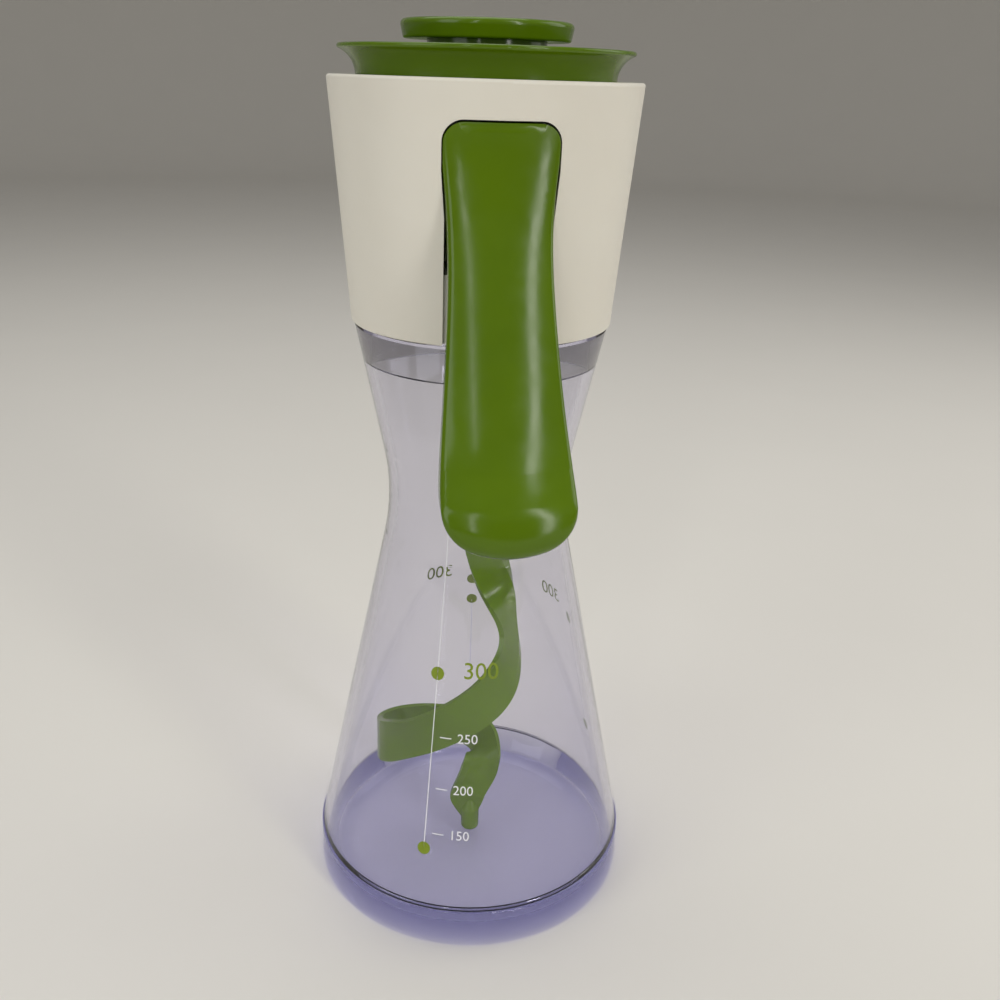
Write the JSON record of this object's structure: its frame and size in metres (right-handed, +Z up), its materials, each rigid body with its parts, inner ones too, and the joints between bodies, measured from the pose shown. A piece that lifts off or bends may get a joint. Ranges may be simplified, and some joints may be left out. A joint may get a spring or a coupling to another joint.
{
  "type": "salad dressing mixer",
  "caption": "Hand-squeezed mixer for salad dressing: a clear waisted bottle, a tapered head with a side lever, a ribbon blade turned by gears, a flared pour ring and a push-in stopper.",
  "frame": {"origin": "centre of the flat underside of the bottle's foot", "axes": "+Z up along the bottle's axis; the squeeze lever is on the -Y side"},
  "size_m": [0.0898, 0.114, 0.2297],
  "materials": {
    "clear_tinted": "clear, pale lilac",
    "foot_tinted": "clear, violet where thick",
    "cream": "fine satin",
    "green": "glossy",
    "inner_white": "plain moulded",
    "gear_plastic": "natural acetal",
    "steel": "ground",
    "clear_silicone": "soft matt"
  },
  "bodies": {
    "bottle": {"bottle_wall": "clear_tinted", "bottle_base": "foot_tinted"},
    "head": {"collar_shell": "cream", "head_frame": "inner_white", "pod_lid": "inner_white", "lid_screws": "steel", "neck_seal": "clear_silicone", "compound_axle": "steel", "floor_bush": "gear_plastic", "lid_bush": "gear_plastic", "shaft_seal": "clear_silicone", "pour_ring": "green", "pour_ring_seal": "clear_silicone", "lever_pin": "steel", "lever_spring": "steel"},
    "lever": {"squeeze_lever": "green", "lever_gear": "gear_plastic"},
    "rack": {"drive_rack": "gear_plastic"},
    "wheel": {"compound_gear": "gear_plastic"},
    "blade": {"hub_gear": "gear_plastic", "drive_shaft": "steel", "shaft_clip": "steel", "mixing_blade": "green"},
    "stopper": {"stopper_plug": "green", "stopper_seal": "clear_silicone", "stopper_knob": "green"}
  },
  "joints": [
    {"name": "head_twist", "type": "hinge", "parent": "bottle", "child": "head", "pos_m": [0, 0, 0.1665], "axis": [0, 0, 1], "range_deg": [0, 40]},
    {"name": "lever_squeeze", "type": "hinge", "parent": "head", "child": "lever", "pos_m": [0, -0.028, 0.20458], "axis": [1, 0, 0], "range_deg": [0, 14], "stiffness_Nm_per_rad": 0.4, "springref_deg": -20.05, "deforming": ["lever_spring"]},
    {"name": "rack_slide", "type": "slide", "parent": "head", "child": "rack", "axis": [0, 1, 0], "range_m": [0, 0.0047]},
    {"name": "wheel_spin", "type": "hinge", "parent": "head", "child": "wheel", "pos_m": [0, -0.0144, 0.18], "axis": [0, 0, 1], "range_deg": [0, 67.3]},
    {"name": "blade_spin", "type": "hinge", "parent": "head", "child": "blade", "pos_m": [0, 0, 0.18], "axis": [0, 0, 1], "range_deg": [-174.8, 0]},
    {"name": "stopper_lift", "type": "slide", "parent": "head", "child": "stopper", "axis": [0, 0, 1], "range_m": [0, 0.04]}
  ],
  "couplings": [
    {"joint": "rack_slide", "follows": "lever_squeeze", "m_per_rad": 0.0192},
    {"joint": "wheel_spin", "follows": "lever_squeeze", "ratio": 4.8},
    {"joint": "blade_spin", "follows": "lever_squeeze", "ratio": -12.48}
  ]
}
